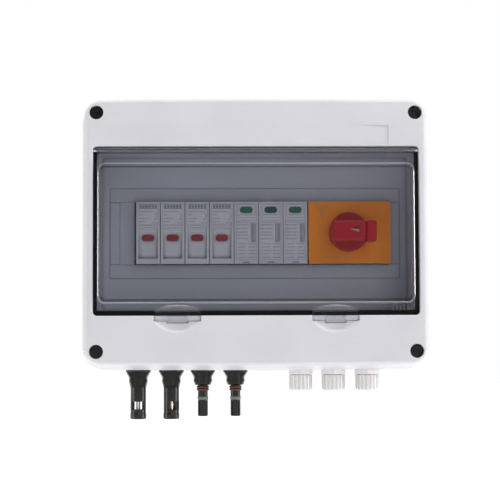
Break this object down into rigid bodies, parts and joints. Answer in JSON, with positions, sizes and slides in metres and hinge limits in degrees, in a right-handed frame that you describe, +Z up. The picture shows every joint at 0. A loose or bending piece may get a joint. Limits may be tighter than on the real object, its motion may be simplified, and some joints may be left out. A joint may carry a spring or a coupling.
{
  "type": "dc combiner box",
  "caption": "Wall-mounted photovoltaic DC combiner box with hinged smoked window, fuse carriers, surge cartridges, rotary isolator, string connectors and cable glands.",
  "frame": {"origin": "centre of the four wall holes, in the plane of the wall", "axes": "+Z up, +Y into the wall, +X to the right of a person facing the box"},
  "size_m": [0.252, 0.106, 0.2334],
  "materials": {
    "cover_plastic": "fine matt texture, light grey-white",
    "panel_plastic": "fine matt texture, light grey",
    "smoked_window": "clear smoked polycarbonate, polished",
    "black_rubber": "matt",
    "black_plastic": "satin",
    "device_plastic": "satin light grey",
    "clear_glass": "tinted lamp window",
    "green_window": "gloss",
    "knob_red": "satin gloss red",
    "plate_yellow": "satin orange-yellow",
    "steel": "zinc plated",
    "brass": "plain",
    "copper_tin": "tinned",
    "ceramic": "glazed ceramic tube with plated caps",
    "gland_nylon": "satin grey-white nylon",
    "wire_black": "cable sheath",
    "wire_red": "cable sheath",
    "wire_green": "cable sheath",
    "o_ring": "brown-red silicone"
  },
  "bodies": {
    "enclosure": {"back_box": "cover_plastic", "front_cover": "cover_plastic", "cover_gasket": "black_rubber", "cover_screws": "black_plastic", "dead_front_panel": "panel_plastic", "dead_front_screws": "steel", "blanking_strip": "panel_plastic", "door_gasket": "black_rubber", "din_rail": "steel", "rail_screws": "steel", "fuse_contacts": "copper_tin", "comb_busbars": "copper_tin", "spd_base": "device_plastic", "terminal_screws": "steel", "isolator_body": "device_plastic", "isolator_faceplate": "plate_yellow", "connector_contacts": "copper_tin", "connector_locknuts": "black_plastic", "plug_o_rings": "o_ring", "gland_bodies": "gland_nylon", "gland_dome_nuts": "gland_nylon", "gland_seals": "black_rubber", "gland_locknuts": "gland_nylon", "string_wires": "wire_black", "link_wires": "wire_red", "earth_wire": "wire_green", "earth_bar": "brass", "earth_bar_screws": "steel", "fuse_housing_1": "device_plastic", "fuse_housing_2": "device_plastic", "fuse_housing_3": "device_plastic", "fuse_housing_4": "device_plastic", "solar_socket_1": "black_plastic", "solar_plug_1": "black_plastic", "solar_socket_2": "black_plastic", "solar_plug_2": "black_plastic"},
    "door": {"window_door": "smoked_window", "door_hinge_pins": "steel"},
    "knob": {"isolator_knob": "knob_red", "isolator_shaft": "steel"},
    "lock_tab": {"knob_lock_tab": "knob_red"},
    "carrier_1": {"fuse_carrier_1": "device_plastic", "fuse_link_1": "ceramic", "fuse_indicator_1": "clear_glass"},
    "carrier_2": {"fuse_carrier_2": "device_plastic", "fuse_link_2": "ceramic", "fuse_indicator_2": "clear_glass"},
    "carrier_3": {"fuse_carrier_3": "device_plastic", "fuse_link_3": "ceramic", "fuse_indicator_3": "clear_glass"},
    "carrier_4": {"fuse_carrier_4": "device_plastic", "fuse_link_4": "ceramic", "fuse_indicator_4": "clear_glass"},
    "cartridge_1": {"spd_cartridge_1": "device_plastic", "spd_window_1": "green_window"},
    "cartridge_2": {"spd_cartridge_2": "device_plastic", "spd_window_2": "green_window"},
    "cartridge_3": {"spd_cartridge_3": "device_plastic", "spd_window_3": "green_window"}
  },
  "joints": [
    {"name": "door_hinge", "type": "hinge", "parent": "enclosure", "child": "door", "pos_m": [0, -0.1, 0.0579], "axis": [-1, 0, 0], "range_deg": [0, 90]},
    {"name": "knob_turn", "type": "hinge", "parent": "enclosure", "child": "knob", "pos_m": [0.0675, -0.085, 0.001], "axis": [0, -1, 0], "range_deg": [0, 90]},
    {"name": "lock_tab_slide", "type": "slide", "parent": "knob", "child": "lock_tab", "axis": [1, 0, 0], "range_m": [0, 0.006]},
    {"name": "carrier_1_tilt", "type": "hinge", "parent": "enclosure", "child": "carrier_1", "pos_m": [-0.0776, -0.07, -0.017], "axis": [1, 0, 0], "range_deg": [0, 32]},
    {"name": "carrier_2_tilt", "type": "hinge", "parent": "enclosure", "child": "carrier_2", "pos_m": [-0.0598, -0.07, -0.017], "axis": [1, 0, 0], "range_deg": [0, 32]},
    {"name": "carrier_3_tilt", "type": "hinge", "parent": "enclosure", "child": "carrier_3", "pos_m": [-0.042, -0.07, -0.017], "axis": [1, 0, 0], "range_deg": [0, 32]},
    {"name": "carrier_4_tilt", "type": "hinge", "parent": "enclosure", "child": "carrier_4", "pos_m": [-0.0242, -0.07, -0.017], "axis": [1, 0, 0], "range_deg": [0, 32]},
    {"name": "cartridge_1_pull", "type": "slide", "parent": "enclosure", "child": "cartridge_1", "axis": [0, -1, 0], "range_m": [0, 0.024]},
    {"name": "cartridge_2_pull", "type": "slide", "parent": "enclosure", "child": "cartridge_2", "axis": [0, -1, 0], "range_m": [0, 0.024]},
    {"name": "cartridge_3_pull", "type": "slide", "parent": "enclosure", "child": "cartridge_3", "axis": [0, -1, 0], "range_m": [0, 0.024]}
  ]
}
